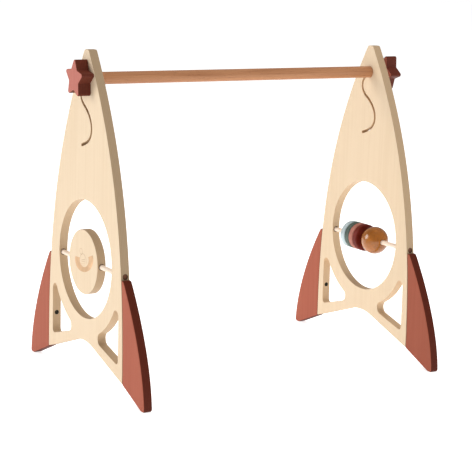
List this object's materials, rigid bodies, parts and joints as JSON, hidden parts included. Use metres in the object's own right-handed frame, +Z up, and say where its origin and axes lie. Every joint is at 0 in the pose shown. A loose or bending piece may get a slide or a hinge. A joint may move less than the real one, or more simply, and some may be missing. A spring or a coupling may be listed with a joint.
{
  "type": "activity play gym",
  "caption": "Wooden baby play gym: rocket-shaped end panels with fins, a round top bar, a turning disc and sliding beads in round windows.",
  "frame": {"origin": "bottom centre of the whole object's box, on the floor", "axes": "+X along the bar from the disc panel to the bead panel, +Y to the back, +Z up"},
  "size_m": [0.619, 0.4256, 0.54],
  "materials": {
    "birch_plywood": "clear satin lacquer, layered edges",
    "terracotta_stain": "satin stain, light grain showing",
    "star_knob_stain": "satin stain",
    "beech_bar": "clear oil",
    "axle_wood": "smooth sanded",
    "dark_plug": "dark stained end grain",
    "dowel_wood": "raw fluted beech",
    "spinner_plywood": "clear satin lacquer",
    "blue_paint": "satin paint on turned wood",
    "green_paint": "satin paint on turned wood",
    "pink_paint": "satin paint on turned wood",
    "red_paint": "satin paint on turned wood",
    "ochre_gloss": "gloss lacquer on turned wood",
    "zinc_steel": "zinc plated",
    "black_steel": "black oxide",
    "insert_brass": "turned"
  },
  "bodies": {
    "frame": {"left_panel": "birch_plywood", "left_fin_front": "terracotta_stain", "left_fin_screw_front": "black_steel", "left_fin_dowel_front_upper": "dowel_wood", "left_fin_dowel_front_lower": "dowel_wood", "left_fin_back": "terracotta_stain", "left_fin_screw_back": "black_steel", "left_fin_dowel_back_upper": "dowel_wood", "left_fin_dowel_back_lower": "dowel_wood", "left_bar_insert": "insert_brass", "left_axle_plug": "dark_plug", "right_panel": "birch_plywood", "right_fin_front": "terracotta_stain", "right_fin_screw_front": "black_steel", "right_fin_dowel_front_upper": "dowel_wood", "right_fin_dowel_front_lower": "dowel_wood", "right_fin_back": "terracotta_stain", "right_fin_screw_back": "black_steel", "right_fin_dowel_back_upper": "dowel_wood", "right_fin_dowel_back_lower": "dowel_wood", "right_bar_insert": "insert_brass", "right_axle_plug": "dark_plug", "crossbar": "beech_bar"},
    "left_spindle": {"left_axle": "axle_wood"},
    "spinner": {"spinner_disc": "spinner_plywood"},
    "right_spindle": {"right_axle": "axle_wood"},
    "ball": {"ochre_ball": "ochre_gloss"},
    "red": {"red_bead": "red_paint"},
    "pink": {"pink_bead": "pink_paint"},
    "green": {"green_bead": "green_paint"},
    "blue": {"blue_bead": "blue_paint"},
    "left_stud": {"left_knob_stud": "zinc_steel"},
    "left_knob": {"left_star_knob": "star_knob_stain"},
    "right_stud": {"right_knob_stud": "zinc_steel"},
    "right_knob": {"right_star_knob": "star_knob_stain"}
  },
  "joints": [
    {"name": "left_axle_spin", "type": "hinge", "parent": "frame", "child": "left_spindle", "pos_m": [-0.27969, 0, 0.1965], "axis": [0, 1, 0], "continuous": true},
    {"name": "spinner_slide", "type": "slide", "parent": "left_spindle", "child": "spinner", "axis": [0, 1, 0], "range_m": [-0.048, 0.037]},
    {"name": "right_axle_spin", "type": "hinge", "parent": "frame", "child": "right_spindle", "pos_m": [0.27031, 0, 0.1965], "axis": [0, 1, 0], "continuous": true},
    {"name": "ball_slide", "type": "slide", "parent": "right_spindle", "child": "ball", "axis": [0, 1, 0], "range_m": [-0.0462, 0.0086]},
    {"name": "red_slide", "type": "slide", "parent": "ball", "child": "red", "axis": [0, 1, 0], "range_m": [0, 0.0086]},
    {"name": "pink_slide", "type": "slide", "parent": "red", "child": "pink", "axis": [0, 1, 0], "range_m": [0, 0.0086]},
    {"name": "green_slide", "type": "slide", "parent": "pink", "child": "green", "axis": [0, 1, 0], "range_m": [0, 0.0086]},
    {"name": "blue_slide", "type": "slide", "parent": "green", "child": "blue", "axis": [0, 1, 0], "range_m": [0, 0.0086]},
    {"name": "left_stud_travel", "type": "slide", "parent": "frame", "child": "left_stud", "axis": [-1, 0, 0], "range_m": [0, 0.015]},
    {"name": "left_knob_turn", "type": "hinge", "parent": "left_stud", "child": "left_knob", "pos_m": [-0.28749, 0, 0.494], "axis": [-1, 0, 0], "range_deg": [0, 4321]},
    {"name": "right_stud_travel", "type": "slide", "parent": "frame", "child": "right_stud", "axis": [1, 0, 0], "range_m": [-0.00937, 0.00562]},
    {"name": "right_knob_turn", "type": "hinge", "parent": "right_stud", "child": "right_knob", "pos_m": [0.28749, 0, 0.494], "axis": [1, 0, 0], "range_deg": [-2701, 1621]}
  ],
  "couplings": [
    {"joint": "left_knob_turn", "follows": "left_stud_travel", "rad_per_m": 5026.5},
    {"joint": "right_knob_turn", "follows": "right_stud_travel", "rad_per_m": 5026.5}
  ]
}
